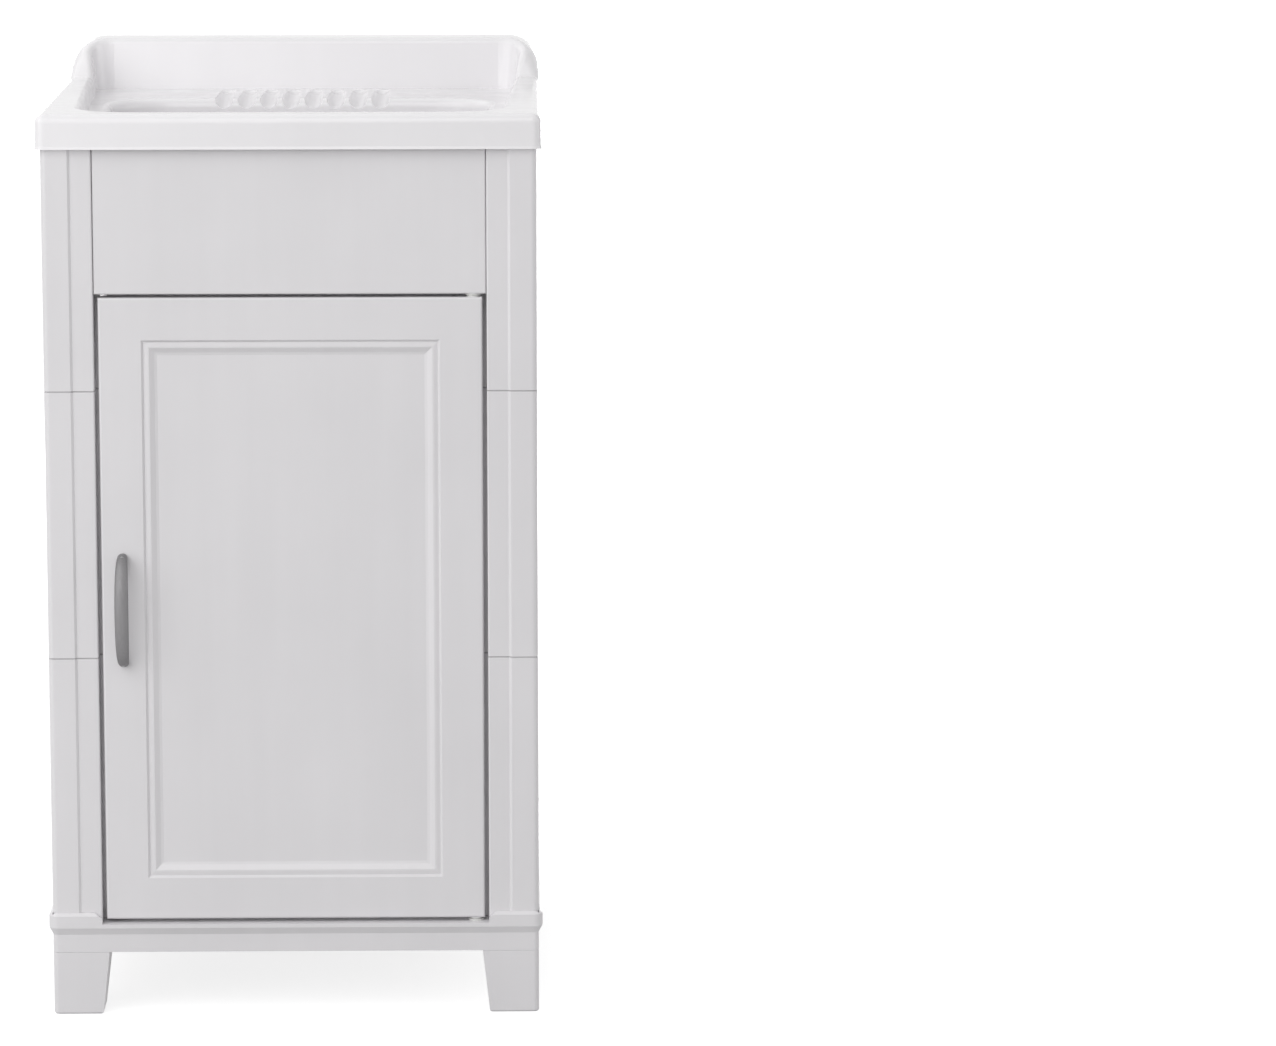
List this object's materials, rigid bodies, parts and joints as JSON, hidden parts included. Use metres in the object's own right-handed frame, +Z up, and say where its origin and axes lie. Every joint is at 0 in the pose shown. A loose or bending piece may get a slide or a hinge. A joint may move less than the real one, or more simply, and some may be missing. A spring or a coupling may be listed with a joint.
{
  "type": "resin wash basin with cabinet",
  "caption": "Deep moulded resin wash basin with drip ledge and backsplash on a stacked resin cabinet with a framed door, bow handle, open back and tapered feet.",
  "frame": {"origin": "on the floor, under the middle of the outer box (handle included)", "axes": "+Z up, the door faces -Y, the open back and the wall are on +Y, +X is to the right of a person who faces the door"},
  "size_m": [0.45, 0.5196, 0.85],
  "materials": {
    "basin_resin": "glossy",
    "cabinet_resin": "satin",
    "handle_metal": "satin",
    "screw_steel": "zinc plated",
    "hinge_nylon": "smooth",
    "bush_nylon": "smooth",
    "stop_rubber": "matte",
    "strainer_steel": "polished",
    "gasket_rubber": "matte",
    "waste_resin": "smooth"
  },
  "bodies": {
    "cabinet": {"basin": "basin_resin", "front_apron": "cabinet_resin", "rear_apron": "cabinet_resin", "base": "cabinet_resin", "top_hinge_bush": "bush_nylon", "bottom_hinge_bush": "bush_nylon", "door_stop": "stop_rubber", "waste_strainer": "strainer_steel", "waste_screw": "strainer_steel", "waste_gasket": "gasket_rubber", "waste_body": "waste_resin", "left_panel_lower": "cabinet_resin", "left_panel_middle": "cabinet_resin", "left_panel_upper": "cabinet_resin", "right_panel_lower": "cabinet_resin", "right_panel_middle": "cabinet_resin", "right_panel_upper": "cabinet_resin", "front_left_foot": "cabinet_resin", "front_right_foot": "cabinet_resin", "rear_left_foot": "cabinet_resin", "rear_right_foot": "cabinet_resin"},
    "door": {"door": "cabinet_resin", "handle": "handle_metal", "handle_screws": "screw_steel", "top_hinge_pin": "hinge_nylon", "bottom_hinge_pin": "hinge_nylon"}
  },
  "joints": [
    {"name": "door_hinge", "type": "hinge", "parent": "cabinet", "child": "door", "pos_m": [0.1632, -0.22375, 0.3707], "axis": [0, 0, 1], "range_deg": [0, 100]}
  ]
}
